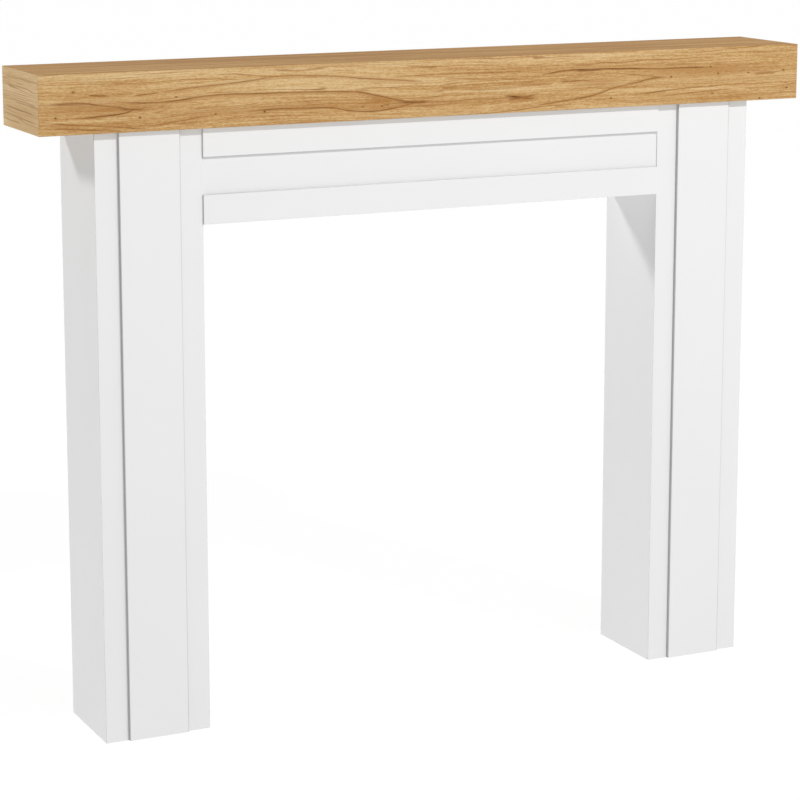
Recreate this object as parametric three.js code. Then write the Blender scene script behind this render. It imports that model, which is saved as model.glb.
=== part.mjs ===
// A fireplace mantelpiece made of flat boards. A hollow beam in oak-look boards is the shelf.
// It lies on two white hollow legs, each with a narrow raised panel down its front. A white
// lintel between the legs, with two planted rails and a soffit, closes in the fire opening.
//
// Millimetres, +Z up. +X runs to the right as seen from the front, and +Y to the wall.
// The origin is on the floor, in the middle of the object's length and of its depth.

import * as THREE from "three";
import { ConvexGeometry } from "three/addons/geometries/ConvexGeometry.js";

// The beam, a box that is open at the back
const BEAM_LENGTH = 1370;
const BEAM_DEPTH = 183;
const BEAM_HEIGHT = 94;
const BEAM_BOARD = 15;
const BEAM_ARRIS = 0.5;

// How far the beam stands out past the legs, before their fronts and beyond their sides
const BEAM_FRONT_OVERHANG = 15;
const BEAM_END_OVERHANG = 92.25;

// The legs, each a channel of three boards that is open at the back
const LEG_HEIGHT = 986;
const LEG_WIDTH = 178.5;
const LEG_BOARD = 15;
const PAINTED_ARRIS = 1;

// The raised panel planted down the middle of each leg
const PANEL_WIDTH = 101;
const PANEL_THICKNESS = 5;

// The lintel that closes the space between the legs, above the fire opening
const LINTEL_HEIGHT = 153.5;
const LINTEL_BOARD = 15;
const LINTEL_SETBACK = 1.5;

// The two rails planted along the lintel's edges
const RAIL_HEIGHT = 47;
const RAIL_THICKNESS = 5;

// Places that several boards share
const FRONT = -BEAM_DEPTH / 2;
const BACK = BEAM_DEPTH / 2;
const LEG_FRONT = FRONT + BEAM_FRONT_OVERHANG;
const LEG_DEPTH = BACK - LEG_FRONT;
const LEG_CENTRE = (BEAM_LENGTH - LEG_WIDTH) / 2 - BEAM_END_OVERHANG;
const OPENING_WIDTH = BEAM_LENGTH - 2 * (BEAM_END_OVERHANG + LEG_WIDTH);
const LINTEL_FRONT = LEG_FRONT + LINTEL_SETBACK;

const oakLook = new THREE.MeshStandardMaterial({
  color: 0xcda36a,
  roughness: 0.5,
  metalness: 0,
});
const whitePaint = new THREE.MeshStandardMaterial({
  color: 0xf1f1f1,
  roughness: 0.45,
  metalness: 0,
});

// How far a board's edge is drawn in at a depth below its face. A cut edge is square. An
// eased edge loses its sharp arris. A mitred edge also slopes in at 45 degrees to meet the
// next board, so that the two arrises make one.
const EDGE_INSET = {
  cut: () => 0,
  eased: (depth, arris) => Math.max(arris - depth, 0),
  mitred: (depth, arris) => Math.max(arris - depth, depth),
};

// A board whose face looks along -Y and is centred on the origin, with its thickness behind.
function boardGeometry(width, height, thickness, arris, edges) {
  const points = [];
  for (const depth of [0, arris / 2, arris, thickness]) {
    const inset = (side) => EDGE_INSET[edges[side] ?? "cut"](depth, arris);
    for (const x of [inset("left") - width / 2, width / 2 - inset("right")]) {
      for (const z of [inset("bottom") - height / 2, height / 2 - inset("top")]) {
        points.push(new THREE.Vector3(x, depth, z));
      }
    }
  }
  return new ConvexGeometry(points);
}

function board(name, material, size, edges) {
  const { width, height, thickness, arris } = size;
  const mesh = new THREE.Mesh(
    boardGeometry(width, height, thickness, arris, edges),
    material,
  );
  mesh.name = name;
  return mesh;
}

// Quarter turns that lay a board's face another way than to the front
const TO_THE_LEFT = new THREE.Euler(0, 0, -Math.PI / 2);
const TO_THE_RIGHT = new THREE.Euler(0, 0, Math.PI / 2);
const UPWARDS = new THREE.Euler(-Math.PI / 2, 0, 0);
const DOWNWARDS = new THREE.Euler(Math.PI / 2, 0, 0);

// Five boards, mitred wherever two of them meet, so that no joint shows on a face.
function beam() {
  const group = new THREE.Group();
  const finish = { thickness: BEAM_BOARD, arris: BEAM_ARRIS };
  const lying = { width: BEAM_LENGTH, height: BEAM_DEPTH, ...finish };
  const standing = { width: BEAM_LENGTH, height: BEAM_HEIGHT, ...finish };
  const across = { width: BEAM_DEPTH, height: BEAM_HEIGHT, ...finish };
  const ends = { left: "mitred", right: "mitred" };

  const front = board("beam_front_board", oakLook, standing, {
    ...ends,
    top: "mitred",
    bottom: "mitred",
  });
  front.position.set(0, FRONT, 0);

  // Turned up, the board's lower edge is the one at the front.
  const top = board("beam_top_board", oakLook, lying, { ...ends, bottom: "mitred" });
  top.rotation.copy(UPWARDS);
  top.position.set(0, 0, BEAM_HEIGHT / 2);

  const underside = board("beam_bottom_board", oakLook, lying, {
    ...ends,
    top: "mitred",
  });
  underside.rotation.copy(DOWNWARDS);
  underside.position.set(0, 0, -BEAM_HEIGHT / 2);

  const leftEnd = board("beam_left_end_board", oakLook, across, {
    right: "mitred",
    top: "mitred",
    bottom: "mitred",
  });
  leftEnd.rotation.copy(TO_THE_LEFT);
  leftEnd.position.set(-BEAM_LENGTH / 2, 0, 0);

  const rightEnd = board("beam_right_end_board", oakLook, across, {
    left: "mitred",
    top: "mitred",
    bottom: "mitred",
  });
  rightEnd.rotation.copy(TO_THE_RIGHT);
  rightEnd.position.set(BEAM_LENGTH / 2, 0, 0);

  group.add(front, top, underside, leftEnd, rightEnd);
  group.position.set(0, 0, LEG_HEIGHT + BEAM_HEIGHT / 2);
  return group;
}

// One leg: a front board between two side boards, and the panel planted on the front.
function leg(side, centre) {
  const group = new THREE.Group();
  const finish = { height: LEG_HEIGHT, thickness: LEG_BOARD, arris: PAINTED_ARRIS };

  const front = board(
    side + "_leg_front_board",
    whitePaint,
    { width: LEG_WIDTH, ...finish },
    { left: "mitred", right: "mitred" },
  );
  front.position.set(0, LEG_FRONT, 0);

  const leftSide = board(
    side + "_leg_left_side_board",
    whitePaint,
    { width: LEG_DEPTH, ...finish },
    { right: "mitred" },
  );
  leftSide.rotation.copy(TO_THE_LEFT);
  leftSide.position.set(-LEG_WIDTH / 2, (LEG_FRONT + BACK) / 2, 0);

  const rightSide = board(
    side + "_leg_right_side_board",
    whitePaint,
    { width: LEG_DEPTH, ...finish },
    { left: "mitred" },
  );
  rightSide.rotation.copy(TO_THE_RIGHT);
  rightSide.position.set(LEG_WIDTH / 2, (LEG_FRONT + BACK) / 2, 0);

  const panel = board(
    side + "_leg_raised_panel",
    whitePaint,
    {
      width: PANEL_WIDTH,
      height: LEG_HEIGHT,
      thickness: PANEL_THICKNESS,
      arris: PAINTED_ARRIS,
    },
    { left: "eased", right: "eased" },
  );
  panel.position.set(0, LEG_FRONT - PANEL_THICKNESS, 0);

  group.add(front, leftSide, rightSide, panel);
  group.position.set(centre, 0, LEG_HEIGHT / 2);
  return group;
}

// The lintel's board fits between the legs. A soffit runs back from it to the wall over the
// opening, and the rails run along its two long edges.
function lintel() {
  const group = new THREE.Group();

  const backing = board(
    "lintel_board",
    whitePaint,
    {
      width: OPENING_WIDTH,
      height: LINTEL_HEIGHT,
      thickness: LINTEL_BOARD,
      arris: PAINTED_ARRIS,
    },
    {},
  );
  backing.position.set(0, LINTEL_FRONT, 0);

  const soffitFront = LINTEL_FRONT + LINTEL_BOARD;
  const soffit = board(
    "lintel_soffit_board",
    whitePaint,
    {
      width: OPENING_WIDTH,
      height: BACK - soffitFront,
      thickness: LINTEL_BOARD,
      arris: PAINTED_ARRIS,
    },
    {},
  );
  soffit.rotation.copy(DOWNWARDS);
  soffit.position.set(0, (soffitFront + BACK) / 2, -LINTEL_HEIGHT / 2);
  group.add(backing, soffit);

  for (const [name, way] of [["top_rail", 1], ["bottom_rail", -1]]) {
    const rail = board(
      "lintel_" + name,
      whitePaint,
      {
        width: OPENING_WIDTH,
        height: RAIL_HEIGHT,
        thickness: RAIL_THICKNESS,
        arris: PAINTED_ARRIS,
      },
      { top: way > 0 ? "cut" : "eased", bottom: "eased" },
    );
    const reach = (LINTEL_HEIGHT - RAIL_HEIGHT) / 2;
    rail.position.set(0, LINTEL_FRONT - RAIL_THICKNESS, way * reach);
    group.add(rail);
  }

  group.position.set(0, 0, LEG_HEIGHT - LINTEL_HEIGHT / 2);
  return group;
}

const mantelpiece = new THREE.Group();
mantelpiece.add(beam(), leg("left", -LEG_CENTRE), leg("right", LEG_CENTRE), lintel());

export default mantelpiece;
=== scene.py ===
# %% [markdown]
# # A fireplace mantelpiece of flat boards
#
# The surround in this lesson is joiner's work: a hollow beam in oak-look laminate for the
# shelf, two hollow legs painted white, and a white lintel between them. Every piece is a
# board, so the craft is in the joints, the rounded arrises and above all in the two
# finishes. The measured model of the boards is loaded first and never moves. Each of its
# plain boards is then replaced by a finished one in the same place.

# %% Load the measured boards
import math

import bmesh
import bpy
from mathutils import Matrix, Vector


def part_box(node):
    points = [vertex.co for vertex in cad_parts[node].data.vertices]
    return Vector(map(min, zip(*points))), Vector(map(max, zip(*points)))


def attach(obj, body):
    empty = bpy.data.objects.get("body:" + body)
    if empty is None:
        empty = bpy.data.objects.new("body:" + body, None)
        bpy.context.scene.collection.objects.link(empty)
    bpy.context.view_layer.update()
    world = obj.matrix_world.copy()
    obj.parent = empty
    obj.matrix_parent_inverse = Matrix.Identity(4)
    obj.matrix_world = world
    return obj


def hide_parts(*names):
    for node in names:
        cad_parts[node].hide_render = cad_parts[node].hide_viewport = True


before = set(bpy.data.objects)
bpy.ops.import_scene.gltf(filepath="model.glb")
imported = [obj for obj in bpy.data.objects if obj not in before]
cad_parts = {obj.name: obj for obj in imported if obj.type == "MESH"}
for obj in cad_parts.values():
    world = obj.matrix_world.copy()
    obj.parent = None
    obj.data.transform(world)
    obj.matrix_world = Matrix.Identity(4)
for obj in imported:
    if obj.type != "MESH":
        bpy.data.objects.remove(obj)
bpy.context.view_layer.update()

# %% [markdown]
# ## The camera
#
# The photograph was taken from the left of the mantelpiece and from above its shelf, with a
# long lens, and its upright edges stay almost upright. A camera that looks down makes
# uprights lean together. A little vertical lens shift brings them back, as a shift lens
# does for a photographer of buildings. The turn, the tilt and the focal length were found
# by fitting the beam's and the legs' corners to their places in the picture.

# %% Camera
CAMERA_PLACE = (-1.882, -3.907, 1.448)
CAMERA_TURN = 0.4417
CAMERA_TILT = 0.1828
LENS_MM = 117.8
LENS_SHIFT = -0.11

lens = bpy.data.cameras.new("lens")
lens.lens = LENS_MM
lens.shift_y = LENS_SHIFT
camera = bpy.data.objects.new("camera", lens)
camera.location = CAMERA_PLACE
camera.rotation_euler = (math.pi / 2 - CAMERA_TILT, 0, -CAMERA_TURN)
bpy.context.scene.collection.objects.link(camera)
bpy.context.scene.camera = camera
print("camera at", CAMERA_PLACE, "with a lens of", LENS_MM, "mm")

# %% [markdown]
# ## A socket that works like a number
#
# A finish is a web of small maps: where the grain lines run, how the fibres streak, where
# the paint is a little duller. Such maps read best as arithmetic. `Map` wraps one output
# socket of a material, so that `1 - line` or `shade * 0.5` adds the Math node that works
# it out. Every other kind of node comes from its one method `node`, which takes the
# node's kind, its settings and then the values or maps that go into its sockets. The one
# setting that isn't a plain value is the row of points of a curve.


# %% The Map class
class Map:
    """One output socket of a material, for use in Python expressions."""

    def __init__(self, tree, socket):
        self.tree = tree
        self.socket = socket

    def node(self, kind, settings=None, sockets=None, output=0):
        """Adds a node: first its settings, then what goes into its sockets."""
        made = self.tree.nodes.new("ShaderNode" + kind)
        for name, value in (settings or {}).items():
            if name == "curve":
                set_curve(made.mapping, value)
            else:
                setattr(made, name, value)
        for name, value in (sockets or {}).items():
            if isinstance(value, Map):
                self.tree.links.new(value.socket, made.inputs[name])
            else:
                made.inputs[name].default_value = value
        return Map(self.tree, made.outputs[output]) if made.outputs else None

    def math(self, operation, *others, clamp=False):
        settings = {"operation": operation, "use_clamp": clamp}
        return self.node("Math", settings, dict(enumerate((self, *others))))

    def __add__(self, other):
        return self.math("ADD", other)

    def __sub__(self, other):
        return self.math("SUBTRACT", other)

    def __rsub__(self, other):
        return self.node("Math", {"operation": "SUBTRACT"}, {0: other, 1: self})

    def __mul__(self, other):
        return self.math("MULTIPLY", other)

    def __truediv__(self, other):
        return self.math("DIVIDE", other)

    def __abs__(self):
        return self.math("ABSOLUTE")

    __radd__ = __add__
    __rmul__ = __mul__

    def clamp(self):
        return self.math("ADD", 0.0, clamp=True)

    def step(self, low, high):
        """0 below low and 1 above high, with a soft rise between. It falls if high < low."""
        sockets = {0: self, 1: low, 2: high}
        return self.node("MapRange", {"interpolation_type": "SMOOTHSTEP"}, sockets)

    def axes(self):
        """The three parts of a vector as three maps."""
        split = self.node("SeparateXYZ", sockets={0: self})
        return [Map(self.tree, socket) for socket in split.socket.node.outputs]

    def noise(self, size, detail, seed, warp=0.0, roughness=0.5):
        """Noise on this vector, with lumps of the given size along x, y and z."""
        settings = {"operation": "DIVIDE"}
        spread = self.node("VectorMath", settings, {0: self, 1: size})
        sockets = {
            "Vector": spread, "W": seed, "Scale": 1.0, "Detail": detail,
            "Roughness": roughness, "Distortion": warp,
        }
        return self.node("TexNoise", {"noise_dimensions": "4D"}, sockets)


def set_curve(mapping, points):
    """Lays a curve through points, each from 0 to 1 along and across."""
    curve = mapping.curves[0]
    while len(curve.points) < len(points):
        curve.points.new(0.5, 0.5)
    for spot, (x, y) in zip(curve.points, points):
        spot.location = (x, y)
    mapping.update()


def blend(under, over, amount):
    """Lays one colour or colour map over another, by a map or a number from 0 to 1."""
    source = next(m for m in (amount, under, over) if isinstance(m, Map))
    sockets = {0: amount, 6: under, 7: over}
    return source.node("Mix", {"data_type": "RGBA"}, sockets, output=2)


def paint(red, green, blue):
    """A colour as a picture editor gives it, 0 to 255, made linear for a shader."""
    parts = [c / 255 for c in (red, green, blue)]
    linear = [c / 12.92 if c <= 0.04045 else ((c + 0.055) / 1.055) ** 2.4 for c in parts]
    return (*linear, 1.0)


print("maps are ready; mid grey is", round(paint(128, 128, 128)[0], 3), "in linear light")

# %% [markdown]
# ## Starting and ending a finish
#
# All patterns read Object coordinates. Every piece sits at the origin with its place in
# its mesh, so these are real millimetres once they are scaled, and the grain of one board
# can be set out with a rule. A finish ends in one Principled shader, whose steady values
# are set on its own sockets.

# %% Helpers for finishes
MM = 0.001


def start_finish(name):
    """A new material, and the place on the object in millimetres as a map."""
    material = bpy.data.materials.new(name)
    material.use_nodes = True
    material.node_tree.nodes.clear()
    places = material.node_tree.nodes.new("ShaderNodeTexCoord")
    metres = Map(material.node_tree, places.outputs["Object"])
    settings = {"operation": "SCALE"}
    return material, metres.node("VectorMath", settings, {0: metres, 3: 1 / MM})


def end_finish(material, colour, roughness, height, bump_mm, steady):
    """Joins the maps to a Principled shader. Height is 0 to 1, and bump_mm its depth."""
    relief = {"Height": height, "Distance": bump_mm * MM, "Strength": 1.0}
    normal = height.node("Bump", sockets=relief)
    sockets = {"Base Color": colour, "Roughness": roughness, "Normal": normal, **steady}
    shader = height.node("BsdfPrincipled", sockets=sockets)
    shader.node("OutputMaterial", sockets={"Surface": shader})
    return material


print("a finish is measured in units of", MM, "m")

# %% [markdown]
# ## Oak-look laminate: the printed grain
#
# The beam's front is the part that everyone looks at, and its figure is plain to see: long
# dark growth lines, three places where two of them meet in a point, and a scatter of pin
# knots. Noise alone would give wood, but not this wood. So each growth line is a curve
# through a few points that a rule could measure, from the middle of the beam and up from
# its lower edge. Noise then does what it is good at, the fibres between the lines.

# %% The beam's sizes
beam_low = Vector((
    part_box("beam_left_end_board")[0].x,
    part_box("beam_front_board")[0].y,
    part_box("beam_bottom_board")[0].z,
))
beam_high = Vector((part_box("beam_right_end_board")[1].x, *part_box("beam_top_board")[1].yz))
BEAM_LENGTH, BEAM_DEPTH, BEAM_HEIGHT = ((beam_high - beam_low) / MM)[:]
print("beam:", [round(s, 2) for s in (BEAM_LENGTH, BEAM_DEPTH, BEAM_HEIGHT)], "mm")


# %% How a growth line is drawn
LINE_FADE = 40
RIM_WIDTH = 2.4


def course(along, points):
    """How far across the grain a smooth line through the points is, at each place along it."""
    spots = [(x / BEAM_LENGTH + 0.5, z / BEAM_DEPTH) for x, z in points]
    share = along * (1 / BEAM_LENGTH) + 0.5
    return share.node("FloatCurve", {"curve": spots}, {"Value": share}) * BEAM_DEPTH


def growth_line(along, across, points, width, shade):
    """A dark line through the points, its brown rim and the shade on one side, each 0 to 1."""
    off = across - course(along, points)
    start, end = points[0][0], points[-1][0]
    fade = min(LINE_FADE, (end - start) / 3)
    present = along.step(start, start + fade) * along.step(end, end - fade)
    line = abs(off).step(width, 0.0) * present
    rim = abs(off).step(RIM_WIDTH * width, 0.0) * present
    beside = off.step(shade, 0.0) * off.step(-math.copysign(width, shade), 0.0) * present
    return line, rim, beside


print("a line's tip fades over", LINE_FADE, "mm, and its rim is", RIM_WIDTH, "times as wide")

# %% How a pin knot and a patch are drawn
KNOT_SQUASH = 0.6
KNOT_CORE = 0.3
PATCH_RIM = 1.3
PATCH_CORE = 0.2


def pin_knot(along, across, x, z, radius):
    """A small dark dot, a little longer along the grain."""
    spot = along.node("CombineXYZ", sockets={0: along * KNOT_SQUASH, 1: across})
    sockets = {0: spot, 1: (KNOT_SQUASH * x, z, 0)}
    apart = spot.node("VectorMath", {"operation": "DISTANCE"}, sockets, output=1)
    return apart.step(radius, KNOT_CORE * radius)


def soft_patch(along, across, x, z, length, height):
    """An oval patch with a soft edge, of the given half length and half height."""
    spot = along.node("CombineXYZ", sockets={0: along / length, 1: across / height})
    sockets = {0: spot, 1: (x / length, z / height, 0)}
    apart = spot.node("VectorMath", {"operation": "DISTANCE"}, sockets, output=1)
    return apart.step(PATCH_RIM, PATCH_CORE)


print("a pin knot is", round(1 / KNOT_SQUASH, 2), "times as long as it is wide")

# %% [markdown]
# ## Where the lines run
#
# Each row is one growth line: its points, its half width, how dark it is from 0 to 1, and
# how far the brown shade beside it reaches. The shade lies above the line where that number
# is more than nothing, and below it otherwise. A point is so many millimetres to the right
# of the beam's middle and above its lower edge. These lines follow the real beam's, so they
# are measured and written down row by row.

# %% Growth lines of the front
FRONT_LINES = [
    # The point on the left, with its two arms
    ([(-685, 47), (-620, 48), (-590, 44), (-560, 40), (-527, 34), (-500, 33)], 2.0, 0.65, -8),
    ([(-640, 24), (-585, 27), (-550, 30), (-527, 34), (-500, 33)], 1.7, 0.72, 5),
    ([(-565, 37), (-535, 35), (-505, 33)], 2.0, 0.80, -3),
    # Two short streaks above it
    ([(-610, 60), (-568, 57)], 1.4, 0.72, -3),
    ([(-540, 56), (-485, 60)], 1.3, 0.62, -3),
    # The long line that comes down to the point left of the middle
    (
        [
            (-575, 50), (-495, 44), (-400, 51), (-267, 50), (-167, 47),
            (-117, 39), (-44, 25), (-10, 25),
        ],
        1.5, 0.72, -7,
    ),
    (
        [(-350, 23), (-202, 23), (-160, 16), (-130, 14), (-92, 17), (-44, 24), (-10, 25)],
        1.6, 0.62, 12,
    ),
    ([(-90, 26), (-55, 25), (-15, 25)], 2.6, 0.90, 3),
    ([(-46, 24), (20, 25), (120, 25), (182, 27)], 1.0, 0.41, -2),
    # The knot that it runs through
    ([(108, 29), (140, 25), (175, 21)], 3.0, 1.00, 5),
    ([(112, 21), (142, 24), (180, 30)], 2.2, 0.90, -4),
    # The highest line, which rises and falls again
    (
        [(-495, 59), (-410, 67), (-342, 71), (-285, 77), (-222, 75), (-147, 68), (-20, 57)],
        1.4, 0.50, -6,
    ),
    ([(-105, 67), (0, 69), (175, 67)], 1.0, 0.41, -2),
    ([(-10, 61), (150, 55)], 1.0, 0.36, -3),
    # Streaks right of the middle
    ([(172, 66), (190, 62), (215, 65), (342, 65), (405, 62), (512, 61)], 1.7, 0.77, 4),
    ([(235, 64), (305, 65)], 2.2, 0.90, 3),
    ([(430, 62), (515, 61)], 1.6, 0.75, -3),
    ([(235, 73), (290, 73)], 1.5, 0.41, 4),
    ([(400, 69), (495, 68)], 0.9, 0.36, 2),
    ([(205, 48), (287, 48)], 1.3, 0.51, -3),
    # The point on the right, with its long lower arm
    ([(330, 56), (367, 53), (406, 48), (435, 46)], 1.3, 0.51, -3),
    ([(160, 9), (225, 15), (275, 21), (320, 33), (367, 41), (406, 47), (435, 46)], 1.5, 0.62, 6),
    # Lines below it
    ([(340, 19), (405, 23), (482, 28), (520, 30)], 1.1, 0.47, 3),
    ([(400, 14), (492, 19), (558, 23)], 1.1, 0.41, 3),
    # The low lines on the left
    ([(-520, 5), (-470, 12), (-395, 22)], 1.2, 0.51, 4),
    ([(-685, 20), (-600, 13), (-500, 3)], 1.1, 0.51, 3),
    ([(-685, 12), (-620, 8), (-560, 2)], 1.1, 0.47, 3),
]
print("growth lines on the front:", len(FRONT_LINES))

# %% [markdown]
# ## Knots, patches and fibres
#
# Between the lines sit pin knots, dark dots as wide as a match head. Broad soft patches
# make the wood around the points browner and other parts of it paler. The fibres don't run
# dead straight either: they bend with the figure, so one of them near mid height is given
# as a curve of its own, and all of the noise is laid along it.

# %% Knots, patches and fibres of the front
KNOT_RADIUS = 1.8
FRONT_KNOTS = [
    (-629, 66), (-658, 27), (-522, 22), (-462, 51), (-397, 22), (-314, 22), (-144, 22),
    (-110, 22), (142, 25), (314, 16), (431, 47), (509, 61), (524, 49), (513, 16),
    (585, 48), (609, 4), (657, 50), (664, 20),
]
# A patch is its middle, half length, half height and depth, brown above nothing, else pale
FRONT_PATCHES = [
    (-575, 37, 34, 5, 1.0), (-610, 43, 90, 6, 0.7), (-590, 56, 80, 3, 0.5),
    (-110, 31, 36, 7, 0.9), (-90, 19, 50, 3, 0.8), (-250, 24, 100, 4, 0.8),
    (142, 24, 34, 8, 1.0), (-590, 40, 130, 14, 0.6), (-370, 26, 150, 8, 0.45),
    (-130, 24, 100, 8, 0.45), (50, 23, 130, 7, 0.45), (500, 55, 160, 12, 0.6),
    (290, 43, 60, 9, 0.5), (300, 68, 200, 6, 0.35), (500, 8, 180, 10, 0.3),
    (520, 40, 160, 10, 0.25), (-100, 88, 640, 10, -0.25), (-130, 58, 280, 9, -0.3),
    (-270, 69, 220, 7, -0.3), (150, 38, 90, 8, -0.15),
]
FRONT_FIBRE = [
    (-685, 47), (-560, 47), (-430, 52), (-345, 56), (-150, 50), (20, 43), (250, 46),
    (480, 43), (685, 43),
]
print("pin knots:", len(FRONT_KNOTS), "patches:", len(FRONT_PATCHES))

# %% [markdown]
# ## Figure of the top and the ends
#
# The top and the ends take the same kinds of rows. On the top a point is so far to the
# right of the middle and in from the front edge. On an end it is so far behind the middle
# of the depth and above the lower edge. Their lines are few and quiet, and made up in
# keeping with the front, because the camera sees both of them only at a slant.

# %% Lines and knots of the top and the ends
TOP_LINES = [
    ([(-685, 150), (-560, 158), (-430, 148), (-300, 132), (-150, 127)], 1.4, 0.60, -6),
    ([(-685, 112), (-590, 108), (-500, 114), (-390, 123), (-150, 127)], 1.5, 0.60, 6),
    ([(-620, 60), (-450, 66), (-250, 58), (-40, 64), (160, 52)], 1.3, 0.50, -5),
    ([(-520, 30), (-300, 36), (-60, 30), (200, 22), (420, 26)], 1.3, 0.50, 5),
    ([(-120, 96), (60, 102), (220, 94), (380, 104), (560, 98)], 1.3, 0.50, -6),
    ([(60, 150), (230, 142), (400, 150), (540, 140), (685, 144)], 1.4, 0.55, 6),
    ([(300, 70), (420, 62), (520, 54), (630, 48)], 1.5, 0.60, 6),
    ([(240, 34), (380, 38), (500, 43), (630, 48)], 1.3, 0.50, -5),
    ([(-400, 168), (-150, 172), (100, 166)], 1.1, 0.40, 4),
    ([(-685, 84), (-600, 88), (-480, 86)], 1.1, 0.40, -4),
]
TOP_KNOTS = [(-505, 72), (-90, 44), (35, 118), (310, 126), (455, 30), (-300, 100)]
END_LINES = [
    ([(-91, 30), (0, 32), (91, 34)], 1.1, 0.5, 4),
    ([(-91, 18), (0, 20), (91, 22)], 1.1, 0.5, -4),
    ([(-91, 45), (-10, 43), (40, 45)], 0.9, 0.35, 3),
    ([(-60, 68), (91, 69)], 0.9, 0.3, -3),
    ([(-91, 81), (91, 80)], 0.9, 0.25, 2),
]
END_PATCHES = [(-20, 20, 110, 30, 0.25)]
print("growth lines on the top:", len(TOP_LINES), "and on an end:", len(END_LINES))

# %% [markdown]
# ## Colours of the laminate
#
# Three colours make the print, from its dark fibres to its pale ones, and two browns draw
# the growth lines. Layers of stretched noise, from broad bands down to single pores, add up
# to one tone between the three. Faint rings run between the drawn lines. The lines aren't
# laid over the fibres but let them through, and they swell and thin on their way, so that
# they break up as real ones do. The underside's print is a duller one. It lies in shadow
# over white paint, where a warm brown would tint the legs. The top's colours are a little
# darker and browner than the front's, partly painted shade for its weaker light. The ends'
# are paler and greyer, a painted sheen for the glancing reflection on them.

# %% Tones of the laminate
FRONT_TONES = (paint(161, 112, 59), paint(191, 152, 98), paint(212, 183, 136))
# Darker and browner than the front: partly painted shade for the top's weaker light
TOP_TONES_WITH_SHADE = (paint(158, 108, 51), paint(187, 140, 78), paint(207, 166, 105))
UNDER_TONES = (paint(150, 124, 92), paint(178, 155, 124), paint(198, 178, 148))
# Paler and greyer than the front: a painted sheen for the glancing reflection on the ends
END_TONES_WITH_SHEEN = (paint(183, 144, 92), paint(208, 174, 124), paint(222, 197, 152))
LINE_BROWN = paint(160, 107, 47)
LINE_DARK = paint(94, 48, 16)
print("the front's middle tone in linear light:", [round(c, 3) for c in FRONT_TONES[1][:3]])

# %% Layers of noise
# The length and width of a layer's lumps in millimetres, its detail and its warp
LAYERS = {
    "wander of the lines": (70, 16, 2, 0),
    "bands": (480, 17, 2, 0),
    "streaks": (190, 2.8, 2, 0.3),
    "fibres": (34, 1.1, 3, 0),
    "pores": (5, 1.0, 2, 0),
    "drift of the rings": (330, 40, 2, 0),
    "stretches with rings": (240, 10, 2, 0),
    "swelling of the lines": (60, 10, 2, 0),
}


def noise_layers(laid, grain, seed):
    """One map for each layer, from -0.5 to 0.5, with its lumps drawn out along the grain."""
    maps = []
    for step, (length, width, detail, warp) in enumerate(LAYERS.values()):
        size = tuple(length if axis == grain else width for axis in range(3))
        maps.append(laid.noise(size, detail, seed + step, warp) - 0.5)
    return maps


print("layers of noise:", ", ".join(LAYERS))

# %% Rings, lines, knots and patches together
RING_TURNS = 1.1
RING_SLANT = 0.8
RING_DRIFT = 30
RING_DARK = 0.25
RING_BROWN = 0.75
KNOT_RIM = 1.6
KNOT_DEPTH = 0.8


def faint_rings(across, inward, bands, drift, stretches):
    """Thin rings side by side, which come and go along the board."""
    phase = across + inward * RING_SLANT + bands * RING_DRIFT + drift * RING_DRIFT
    return (phase * RING_TURNS).math("SINE").step(0.6, 1.0) * stretches.step(-0.08, 0.1)


def drawn_figure(along, across, tone, rings, lines, knots, patches):
    """How dark and how brown each place is, and its tone with the pale patches added."""
    dark, brown = rings * RING_DARK, rings * RING_BROWN
    for points, width, darkness, shade in lines:
        line, rim, beside = growth_line(along, across, points, width, shade)
        dark = dark.math("MAXIMUM", line * darkness)
        brown = brown.math("MAXIMUM", rim * (0.4 + darkness * 0.6))
        brown = brown.math("MAXIMUM", beside * (0.3 + darkness * 0.6))
    for x, z in knots:
        core = pin_knot(along, across, x, z, KNOT_RADIUS)
        rim = pin_knot(along, across, x, z, KNOT_RIM * KNOT_RADIUS)
        dark = dark.math("MAXIMUM", core * KNOT_DEPTH)
        brown = brown.math("MAXIMUM", rim * KNOT_DEPTH)
    for x, z, length, height, depth in patches:
        patch = soft_patch(along, across, x, z, length, height)
        if depth > 0:
            brown = brown.math("MAXIMUM", patch * depth)
        else:
            tone = tone - patch * depth
    return dark, brown, tone


print("rings are", round(2 * math.pi / RING_TURNS, 1), "mm apart")

# %% Laminate finish
LINE_WANDER = 4.0
MEAN_TONE = 0.52
STREAK_SHARE = 1.0
FIBRE_SHARE = 1.3
PORE_SHARE = 1.5


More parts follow.
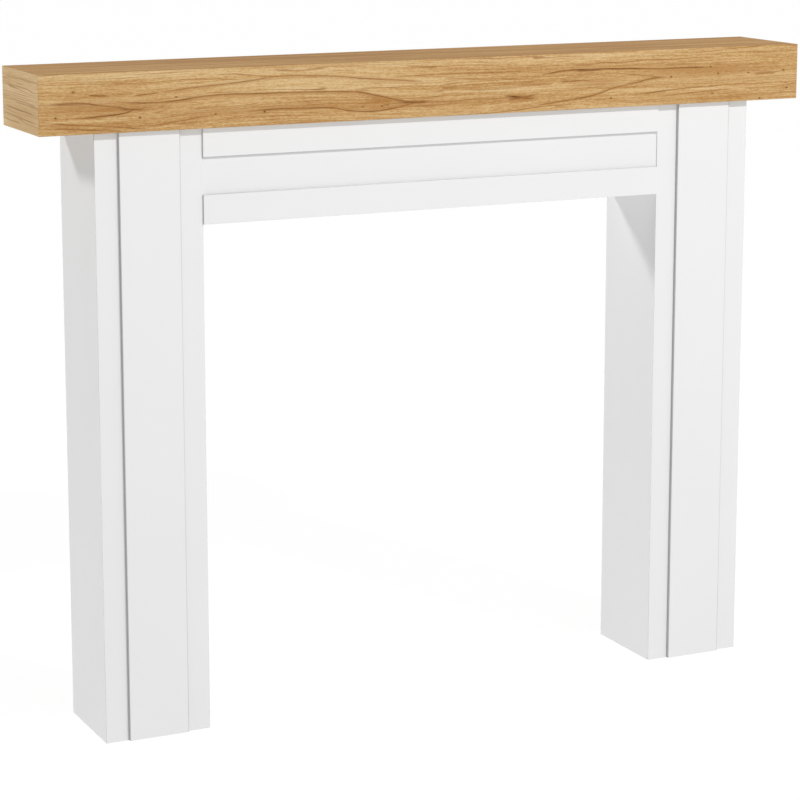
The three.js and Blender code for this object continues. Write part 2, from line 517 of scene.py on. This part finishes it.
def laminate(name, grain, rise, seed, tones, contrast, lines=(), knots=(), patches=(), fibre=None):
    """Oak-look laminate. The grain and the rise across it are axes 0, 1 or 2 of the object."""
    material, place = start_finish(name)
    along, inward = place.axes()[grain], place.axes()[3 - grain - rise]
    laid = place
    if fibre:
        lift = place.node("CombineXYZ", sockets={rise: course(along, fibre)})
        laid = place.node("VectorMath", {"operation": "SUBTRACT"}, {0: place, 1: lift})
    layers = noise_layers(laid, grain, seed)
    wander, bands, streaks, fibres, pores, drift, stretches, swelling = layers

    across = place.axes()[rise] - beam_low[rise] / MM + wander * LINE_WANDER
    rings = faint_rings(across, inward, bands, drift, stretches)
    tone = MEAN_TONE + bands * contrast + streaks * STREAK_SHARE
    tone = tone + fibres * FIBRE_SHARE + pores * PORE_SHARE
    dark, brown, tone = drawn_figure(along, across, tone, rings, lines, knots, patches)

    broken = 0.75 + fibres * 1.6 + streaks * 0.8
    swell = 0.9 + swelling * 3.0
    deep, middle, pale = tones
    colour = blend(deep, middle, (tone * 2).clamp())
    colour = blend(colour, pale, (tone * 2 - 1).clamp())
    colour = blend(colour, LINE_BROWN, (brown * broken).clamp())
    colour = blend(colour, LINE_DARK, (dark * (broken + 0.15) * swell).clamp())
    roughness = 0.55 + pores * 0.3 + fibres * 0.1
    height = 0.5 + fibres * 0.8 + pores * 0.8 - dark * 0.2
    steady = {"Specular IOR Level": 0.15}
    return end_finish(material, colour, roughness, height, bump_mm=0.04, steady=steady)


oak_front = laminate(
    "oak_front", grain=0, rise=2, seed=3.0, tones=FRONT_TONES, contrast=1.0,
    lines=FRONT_LINES, knots=FRONT_KNOTS, patches=FRONT_PATCHES, fibre=FRONT_FIBRE,
)
oak_top = laminate(
    "oak_top", grain=0, rise=1, seed=11.0, tones=TOP_TONES_WITH_SHADE, contrast=1.8,
    lines=TOP_LINES, knots=TOP_KNOTS,
)
oak_underside = laminate(
    "oak_underside", grain=0, rise=1, seed=17.0, tones=UNDER_TONES, contrast=1.5,
)
oak_left_end, oak_right_end = (
    laminate(
        f"oak_{side}_end", grain=1, rise=2, seed=seed, tones=END_TONES_WITH_SHEEN, contrast=1.2,
        lines=END_LINES, patches=END_PATCHES,
    )
    for side, seed in (("left", 23.0), ("right", 29.0))
)
print("nodes in the front's finish:", len(oak_front.node_tree.nodes))

# %% [markdown]
# ## White paint and raw fibreboard
#
# The legs and the lintel are sprayed in satin white. Sprayed paint isn't quite flat: it
# dries with a very fine pimpling, like orange peel, and its sheen varies a little. Thin
# grey lines of painted shade run along the sides of the raised panels and the lower edge
# of the upper rail, where fine shadows fall. Where no finish was put, on the saw cuts and
# inside the hollow boxes, the bare fibreboard shows, brown and matt with a felt of fine
# fibres.

# %% Paint and board finishes
WHITE = paint(230, 230, 230)
SOFT_WHITE = paint(227, 227, 227)
SHADE_LINE_WHITE = paint(196, 196, 196)
BOARD_LIGHT = paint(188, 158, 122)
BOARD_DARK = paint(158, 126, 92)
PEEL_SIZE = (2.4, 2.4, 2.4)
PAINT_CLOUD = (120, 120, 160)
SHADE_LINE_REACH = 1.4
SHADE_LINE_CORE = 0.7
FELT_SIZE = (1.8, 1.8, 1.8)
BOARD_CLOUD = (60, 60, 60)


def white_paint(name, seed, arrises):
    """Satin white, with a grey line of painted shade along each arris. Each arris is an axis of the
    object and its place on it, in metres.
    """
    material, place = start_finish(name)
    peel = place.noise(PEEL_SIZE, 2, seed)
    cloud = place.noise(PAINT_CLOUD, 3, seed + 1)
    painted_shade_line = cloud * 0
    # Painted shade: a thin grey line along each listed arris, which also darkens the face just beside
    # it
    for axis, spot in arrises:
        away = abs(place.axes()[axis] - spot / MM)
        painted_shade_line = painted_shade_line.math("MAXIMUM", away.step(SHADE_LINE_REACH, SHADE_LINE_CORE))
    colour = blend(blend(WHITE, SOFT_WHITE, cloud), SHADE_LINE_WHITE, painted_shade_line * (0.5 + peel))
    roughness = 0.36 + cloud * 0.1 + peel * 0.06
    steady = {"Specular IOR Level": 0.4}
    return end_finish(material, colour, roughness, peel, bump_mm=0.02, steady=steady)


def raw_fibreboard(name, seed):
    """Bare fibreboard, brown and matt."""
    material, place = start_finish(name)
    felt = place.noise(FELT_SIZE, 5, seed, warp=1.5, roughness=0.7)
    cloud = place.noise(BOARD_CLOUD, 2, seed + 1)
    colour = blend(BOARD_DARK, BOARD_LIGHT, (felt * 1.4 + cloud * 0.4 - 0.4).clamp())
    roughness = 0.82 + felt * 0.1
    steady = {"Specular IOR Level": 0.2}
    return end_finish(material, colour, roughness, felt, bump_mm=0.15, steady=steady)


# Where lines of painted shade go: both sides of each raised panel and the top rail's lower edge
panel_shade_lines = [
    (0, corner.x) for side in ("left", "right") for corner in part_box(side + "_leg_raised_panel")
]
rail_shade_lines = [(2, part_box("lintel_top_rail")[0].z)]
leg_paint = white_paint("leg_paint", 41.0, panel_shade_lines)
lintel_paint = white_paint("lintel_paint", 47.0, rail_shade_lines)
fibreboard = raw_fibreboard("fibreboard", 53.0)
print("other finishes:", leg_paint.name, lintel_paint.name, fibreboard.name)

# %% [markdown]
# ## Sawing a board out of a block
#
# Where two boards meet in a mitre, the rounded arris on the outside is shared by both. It
# comes out right if the whole box is imagined as one solid block: its outer arrises are
# rounded first, and then each board is sawn out of it, along its inner face and along the
# mitres. The bevel and the bisect operators do just that, and the cut faces are bare board.

# %% Directions
LEFT, RIGHT = Vector((-1, 0, 0)), Vector((1, 0, 0))
FRONT, BACK = Vector((0, -1, 0)), Vector((0, 1, 0))
DOWN, UP = Vector((0, 0, -1)), Vector((0, 0, 1))
print("left, front and down are", LEFT[:], FRONT[:], DOWN[:])

# %% Rounding and sawing
BARE = 1
ROUND_SEGMENTS = 3
TOUCHING = 1e-6


def face_point(block, *ways):
    """The point of a block that lies on all the faces that look these ways."""
    low, high = block
    half = (high - low) / 2
    point = (low + high) / 2
    for way in ways:
        point = point + Vector(w * h for w, h in zip(way, half))
    return point


def on_faces(edge, block, ways):
    """Whether an edge of the block lies on each of these faces."""
    middle = (edge.verts[0].co + edge.verts[1].co) / 2
    return all(abs((middle - face_point(block, way)).dot(way)) < TOUCHING for way in ways)


def rounded_block(block, arrises, radius):
    """A block with some of its arrises rounded, each named by its two faces."""
    low, high = block
    mesh = bmesh.new()
    bmesh.ops.create_cube(mesh, size=1.0)
    bmesh.ops.scale(mesh, vec=high - low, verts=mesh.verts)
    bmesh.ops.translate(mesh, vec=(low + high) / 2, verts=mesh.verts)
    edges = [e for e in mesh.edges if any(on_faces(e, block, pair) for pair in arrises)]
    rounds = bmesh.ops.bevel(
        mesh, geom=edges, offset=radius, offset_type="OFFSET", affect="EDGES",
        segments=ROUND_SEGMENTS, profile=0.5, material=-1,
    )
    for face in rounds["faces"]:
        face.smooth = True
    return mesh


def saw(mesh, point, away):
    """Takes off what lies beyond a plane, and closes the cut with a bare face."""
    everything = mesh.verts[:] + mesh.edges[:] + mesh.faces[:]
    cut = bmesh.ops.bisect_plane(
        mesh, geom=everything, plane_co=point, plane_no=away, clear_outer=True
    )
    rim = [part for part in cut["geom_cut"] if isinstance(part, bmesh.types.BMEdge)]
    for face in bmesh.ops.contextual_create(mesh, geom=rim)["faces"]:
        face.material_index = BARE


print("steps in a rounded arris:", ROUND_SEGMENTS, "material slot of a cut face:", BARE)

# %% [markdown]
# ## From a mesh to a piece of the model
#
# A mesh becomes an object with its finish in the first material slot and bare board in the
# second. Faces that look in one of the bare directions, such as a leg's foot, get the bare
# board. The piece then takes the place of the plain board that it was made after.

# %% Finished boards
SAME_WAY = 0.999


def finished_board(name, node, mesh, finish, bare_ways):
    """Makes the mesh a piece that stands for a board of the measured model."""
    mesh.normal_update()
    for face in mesh.faces:
        if any(face.normal.dot(way) > SAME_WAY for way in bare_ways):
            face.material_index = BARE
    bmesh.ops.recalc_face_normals(mesh, faces=mesh.faces)
    data = bpy.data.meshes.new(name)
    mesh.to_mesh(data)
    mesh.free()
    data.materials.append(finish)
    data.materials.append(fibreboard)
    piece = bpy.data.objects.new(name, data)
    bpy.context.scene.collection.objects.link(piece)
    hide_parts(node)
    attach(piece, "root")
    low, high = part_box(node)
    size = [round(s / MM, 1) for s in piece.dimensions]
    print(f"{name}: {size} mm for {node}, {[round(s / MM, 1) for s in high - low]} mm")


print("a face is bare where its normal is within", SAME_WAY, "of a bare direction")

# %% [markdown]
# ## The beam
#
# Five boards, mitred all round, leave no joint on a face. The box is open at the back,
# where it goes against the wall, so the back edges aren't rounded and show bare board.

# %% Beam boards
BEAM_BOARD = 15 * MM
BEAM_ARRIS = 0.8 * MM
beam_block = (beam_low, beam_high)
beam_arrises = [
    (FRONT, UP), (FRONT, DOWN), (FRONT, LEFT), (FRONT, RIGHT),
    (UP, LEFT), (UP, RIGHT), (DOWN, LEFT), (DOWN, RIGHT),
]


def mitred_board(
    name, node, block, arrises, radius, facing, thickness, beside, finish, bare_ways
):
    """Saws the board that faces one way out of a block, with mitres to its neighbours."""
    mesh = rounded_block(block, arrises, radius)
    saw(mesh, face_point(block, facing) - facing * thickness, -facing)
    for neighbour in beside:
        saw(mesh, face_point(block, facing, neighbour), neighbour - facing)
    finished_board(name, node, mesh, finish, bare_ways)


for name, node, facing, beside, finish in [
    ("beam_front", "beam_front_board", FRONT, (UP, DOWN, LEFT, RIGHT), oak_front),
    ("beam_top", "beam_top_board", UP, (FRONT, LEFT, RIGHT), oak_top),
    ("beam_underside", "beam_bottom_board", DOWN, (FRONT, LEFT, RIGHT), oak_underside),
    ("beam_left_end", "beam_left_end_board", LEFT, (FRONT, UP, DOWN), oak_left_end),
    ("beam_right_end", "beam_right_end_board", RIGHT, (FRONT, UP, DOWN), oak_right_end),
]:
    mitred_board(
        name, node, beam_block, beam_arrises, BEAM_ARRIS, facing, BEAM_BOARD,
        beside, finish, (BACK,),
    )

# %% [markdown]
# ## The legs
#
# Each leg is a front board mitred to two side boards, open at the back as the beam is. A
# thin panel is planted down the middle of the front. It runs the full height, so only its
# two long arrises are eased by the paint.

# %% Leg boards
LEG_BOARD = 15 * MM
PAINTED_ARRIS = 0.6 * MM
LONG_ARRISES = [(FRONT, LEFT), (FRONT, RIGHT)]
ENDS = (UP, DOWN, BACK)
for side in ("left", "right"):
    leg_block = (
        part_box(side + "_leg_left_side_board")[0],
        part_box(side + "_leg_right_side_board")[1],
    )
    leg_block[0].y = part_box(side + "_leg_front_board")[0].y
    for part, facing, beside in [
        ("front", FRONT, (LEFT, RIGHT)),
        ("left_side", LEFT, (FRONT,)),
        ("right_side", RIGHT, (FRONT,)),
    ]:
        mitred_board(
            f"{side}_leg_{part}", f"{side}_leg_{part}_board", leg_block, LONG_ARRISES,
            PAINTED_ARRIS, facing, LEG_BOARD, beside, leg_paint, ENDS,
        )
    node = side + "_leg_raised_panel"
    panel = rounded_block(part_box(node), LONG_ARRISES, PAINTED_ARRIS)
    finished_board(side + "_leg_panel", node, panel, leg_paint, ENDS)

# %% [markdown]
# ## The lintel
#
# The lintel's board is let in a little behind the legs' fronts. Two rails are planted along
# its edges and stand proud of the legs, and a soffit closes it towards the wall. A board
# that is fitted between two others is cut a hair short, and that hair shows as a fine dark
# line at each end.

# %% Lintel boards
FITTING_GAP = 0.1 * MM
for name, node, arrises, bare_ways in [
    ("lintel_face", "lintel_board", [(FRONT, DOWN)], (UP, BACK, LEFT, RIGHT)),
    ("lintel_soffit", "lintel_soffit_board", [], (UP, BACK, LEFT, RIGHT)),
    ("lintel_top_strip", "lintel_top_rail", [(FRONT, DOWN), *LONG_ARRISES], (UP, BACK)),
    ("lintel_bottom_strip", "lintel_bottom_rail", [(FRONT, UP), (FRONT, DOWN), *LONG_ARRISES], (BACK,)),
]:
    low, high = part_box(node)
    low.x, high.x = low.x + FITTING_GAP, high.x - FITTING_GAP
    mesh = rounded_block((low, high), arrises, PAINTED_ARRIS)
    finished_board(name, node, mesh, lintel_paint, bare_ways)

# %% [markdown]
# ## Floor and light
#
# The studio is a bright white floor under a soft sky. A strong light from the front right
# draws the crisp shadow under the beam, and a weaker one from the back left lights the
# faces that look to the left. The floor glows a little as well, as a lit table does in a
# product studio, so that shadows on it stay faint.

# %% Studio floor
FLOOR_RADIUS = 40.0
FLOOR_GLOW = 0.93
FLOOR_LIGHT = paint(92, 92, 92)
FLOOR_SHADE = paint(89, 89, 89)


def studio_floor():
    """A wide disc under the feet that glows faintly."""
    mesh = bmesh.new()
    bmesh.ops.create_circle(mesh, cap_ends=True, radius=FLOOR_RADIUS, segments=64)
    data = bpy.data.meshes.new("floor")
    mesh.to_mesh(data)
    mesh.free()
    floor = bpy.data.objects.new("floor", data)
    bpy.context.scene.collection.objects.link(floor)
    material, place = start_finish("floor_white")
    grain = place.noise((3.0, 3.0, 3.0), 2, 61.0)
    colour = blend(FLOOR_LIGHT, FLOOR_SHADE, grain)
    roughness = 0.9 + grain * 0.05
    steady = {
        "Emission Color": (1, 1, 1, 1), "Emission Strength": FLOOR_GLOW, "Specular IOR Level": 0.0,
    }
    data.materials.append(end_finish(material, colour, roughness, grain, bump_mm=0.01, steady=steady))


studio_floor()
print("floor radius:", FLOOR_RADIUS, "m")

# %% Lights
AIM = Vector((0, 0, 0.95))
KEY_TRAVEL = (-0.45, 1.0, -0.776)
SIDE_TRAVEL = (0.615, -0.588, -0.526)


def hang_light(light, travel, away):
    """Hangs a light so that it shines on the upper part from that far away."""
    lamp = bpy.data.objects.new(light.name, light)
    travel = Vector(travel).normalized()
    lamp.location = AIM - travel * away
    lamp.rotation_euler = travel.to_track_quat("-Z", "Y").to_euler()
    bpy.context.scene.collection.objects.link(lamp)


key = bpy.data.lights.new("key", "AREA")
key.shape = "DISK"
key.size = 0.18
key.energy = 172
hang_light(key, KEY_TRAVEL, away=6.0)
side_light = bpy.data.lights.new("side_light", "SUN")
side_light.angle = math.radians(8)
side_light.energy = 1.35
hang_light(side_light, SIDE_TRAVEL, away=4.0)
print("lights:", key.name, key.energy, "W,", side_light.name, round(side_light.energy, 2))

# %% [markdown]
# ## The sky
#
# An even white background would light the beam's top as strongly as its front. A studio's
# ceiling is darker than its walls, so the sky here fades from nearly white at the horizon
# to a soft grey overhead. It is darker to the left too, which puts the sides that look
# there in half shade. The camera doesn't see any of that: the Light Path node tells its
# rays from the others, and they meet a plain white backdrop.

# %% Sky
HORIZON = 0.83
ZENITH = 0.30
LEFT_SHADE = 0.85
BACKDROP = 1.0
world = bpy.data.worlds.new("studio")
world.use_nodes = True
world.node_tree.nodes.clear()
look = world.node_tree.nodes.new("ShaderNodeTexCoord")
way = Map(world.node_tree, look.outputs["Generated"])
leftward, climb = (way.axes()[0] * -1).clamp(), way.axes()[2].clamp()
light = (HORIZON - climb * (HORIZON - ZENITH)) * (1 - leftward * LEFT_SHADE)
seen = climb.node("LightPath")
strength = light * (1 - seen) + seen * BACKDROP
glow = climb.node("Background", sockets={"Color": (1, 1, 1, 1), "Strength": strength})
glow.node("OutputWorld", sockets={"Surface": glow})
bpy.context.scene.world = world
bpy.context.scene.view_settings.view_transform = "Standard"
print("sky:", HORIZON, "at the horizon and", ZENITH, "overhead")
